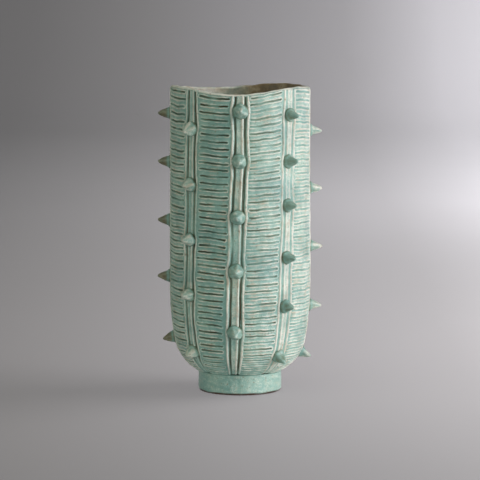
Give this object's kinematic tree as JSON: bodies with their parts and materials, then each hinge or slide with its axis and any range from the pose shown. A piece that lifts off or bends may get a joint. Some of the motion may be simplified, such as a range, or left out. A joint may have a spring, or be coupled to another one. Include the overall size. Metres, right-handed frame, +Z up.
{
  "type": "vase",
  "caption": "Tall stoneware vase on a foot ring, with a wavy rim, combed walls, applied vertical ribs and rows of small thorns, in a pale green glaze.",
  "frame": {"origin": "centre of the foot ring, on the plane that the vase stands on", "axes": "+Z up through the mouth, -Y towards the front, where a rib faces the viewer, +X to the viewer's right"},
  "size_m": [0.1796, 0.1797, 0.3348],
  "materials": {
    "celadon_glaze": "satin",
    "bare_stoneware": "matte"
  },
  "bodies": {
    "root": {"vessel_wall": "celadon_glaze", "foot_ring": "celadon_glaze", "floor_disc": "bare_stoneware", "rib_a": "celadon_glaze", "rib_b": "celadon_glaze", "rib_c": "celadon_glaze", "rib_d": "celadon_glaze", "rib_e": "celadon_glaze", "rib_f": "celadon_glaze", "rib_g": "celadon_glaze", "rib_h": "celadon_glaze", "thorn_a1": "celadon_glaze", "thorn_a2": "celadon_glaze", "thorn_a3": "celadon_glaze", "thorn_a4": "celadon_glaze", "thorn_a5": "celadon_glaze", "thorn_b1": "celadon_glaze", "thorn_b2": "celadon_glaze", "thorn_b3": "celadon_glaze", "thorn_b4": "celadon_glaze", "thorn_b5": "celadon_glaze", "thorn_c1": "celadon_glaze", "thorn_c2": "celadon_glaze", "thorn_c3": "celadon_glaze", "thorn_c4": "celadon_glaze", "thorn_c5": "celadon_glaze", "thorn_d1": "celadon_glaze", "thorn_d2": "celadon_glaze", "thorn_d3": "celadon_glaze", "thorn_d4": "celadon_glaze", "thorn_d5": "celadon_glaze", "thorn_d6": "celadon_glaze", "thorn_e1": "celadon_glaze", "thorn_e2": "celadon_glaze", "thorn_e3": "celadon_glaze", "thorn_e4": "celadon_glaze", "thorn_e5": "celadon_glaze", "thorn_f1": "celadon_glaze", "thorn_f2": "celadon_glaze", "thorn_f3": "celadon_glaze", "thorn_f4": "celadon_glaze", "thorn_f5": "celadon_glaze", "thorn_g1": "celadon_glaze", "thorn_g2": "celadon_glaze", "thorn_g3": "celadon_glaze", "thorn_g4": "celadon_glaze", "thorn_g5": "celadon_glaze", "thorn_h1": "celadon_glaze", "thorn_h2": "celadon_glaze", "thorn_h3": "celadon_glaze", "thorn_h4": "celadon_glaze", "thorn_h5": "celadon_glaze", "thorn_h6": "celadon_glaze"}
  },
  "joints": []
}
